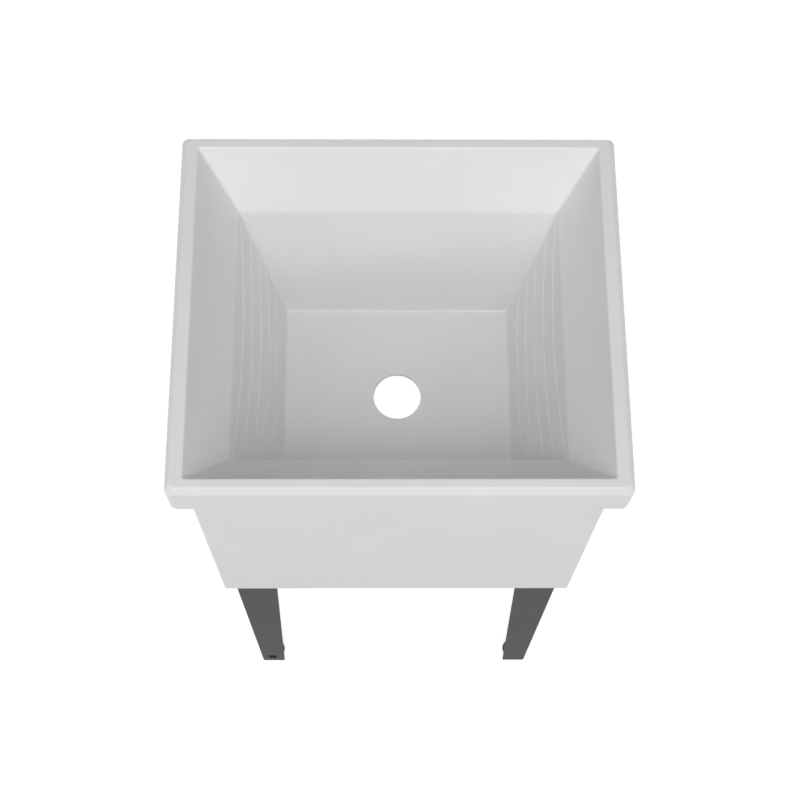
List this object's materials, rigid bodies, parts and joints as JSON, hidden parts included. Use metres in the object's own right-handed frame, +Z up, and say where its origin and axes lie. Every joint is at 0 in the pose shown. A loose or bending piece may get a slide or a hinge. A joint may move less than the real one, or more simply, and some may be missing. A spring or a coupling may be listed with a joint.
{
  "type": "laundry tub",
  "caption": "Free-standing laundry tub with a moulded white basin, washboard side walls, a plain skirt and tapered steel legs on screw-adjusted feet.",
  "frame": {"origin": "on the floor under the middle of the rim", "axes": "+Z up, +Y to the rear (the short side of the rim), front towards -Y"},
  "size_m": [0.425, 0.3676, 0.886],
  "materials": {
    "white_tub": "moulded gloss",
    "grey_paint": "satin paint",
    "zinc": "zinc plated",
    "black_pad": "moulded matt"
  },
  "bodies": {
    "frame": {"tub": "white_tub", "leg_front_left": "grey_paint", "leg_screws_front_left": "zinc", "leg_washers_front_left": "zinc", "weld_nut_front_left": "zinc", "leg_front_right": "grey_paint", "leg_screws_front_right": "zinc", "leg_washers_front_right": "zinc", "weld_nut_front_right": "zinc", "leg_rear_right": "grey_paint", "leg_screws_rear_right": "zinc", "leg_washers_rear_right": "zinc", "weld_nut_rear_right": "zinc", "leg_rear_left": "grey_paint", "leg_screws_rear_left": "zinc", "leg_washers_rear_left": "zinc", "weld_nut_rear_left": "zinc"},
    "pad_front_left": {"foot_pad_front_left": "black_pad"},
    "stud_front_left": {"levelling_stud_front_left": "zinc"},
    "pad_front_right": {"foot_pad_front_right": "black_pad"},
    "stud_front_right": {"levelling_stud_front_right": "zinc"},
    "pad_rear_right": {"foot_pad_rear_right": "black_pad"},
    "stud_rear_right": {"levelling_stud_rear_right": "zinc"},
    "pad_rear_left": {"foot_pad_rear_left": "black_pad"},
    "stud_rear_left": {"levelling_stud_rear_left": "zinc"}
  },
  "joints": [
    {"name": "foot_slide_front_left", "type": "slide", "parent": "frame", "child": "pad_front_left", "axis": [0, 0, -1], "range_m": [0, 0.015]},
    {"name": "stud_turn_front_left", "type": "hinge", "parent": "pad_front_left", "child": "stud_front_left", "pos_m": [-0.16975, -0.141, 0.02], "axis": [0, 0, -1], "range_deg": [0, 4320]},
    {"name": "foot_slide_front_right", "type": "slide", "parent": "frame", "child": "pad_front_right", "axis": [0, 0, -1], "range_m": [0, 0.015]},
    {"name": "stud_turn_front_right", "type": "hinge", "parent": "pad_front_right", "child": "stud_front_right", "pos_m": [0.16975, -0.141, 0.02], "axis": [0, 0, -1], "range_deg": [0, 4320]},
    {"name": "foot_slide_rear_right", "type": "slide", "parent": "frame", "child": "pad_rear_right", "axis": [0, 0, -1], "range_m": [0, 0.015]},
    {"name": "stud_turn_rear_right", "type": "hinge", "parent": "pad_rear_right", "child": "stud_rear_right", "pos_m": [0.16975, 0.141, 0.02], "axis": [0, 0, -1], "range_deg": [0, 4320]},
    {"name": "foot_slide_rear_left", "type": "slide", "parent": "frame", "child": "pad_rear_left", "axis": [0, 0, -1], "range_m": [0, 0.015]},
    {"name": "stud_turn_rear_left", "type": "hinge", "parent": "pad_rear_left", "child": "stud_rear_left", "pos_m": [-0.16975, 0.141, 0.02], "axis": [0, 0, -1], "range_deg": [0, 4320]}
  ],
  "couplings": [
    {"joint": "stud_turn_front_left", "follows": "foot_slide_front_left", "rad_per_m": 5026.5},
    {"joint": "stud_turn_front_right", "follows": "foot_slide_front_right", "rad_per_m": 5026.5},
    {"joint": "stud_turn_rear_right", "follows": "foot_slide_rear_right", "rad_per_m": 5026.5},
    {"joint": "stud_turn_rear_left", "follows": "foot_slide_rear_left", "rad_per_m": 5026.5}
  ]
}
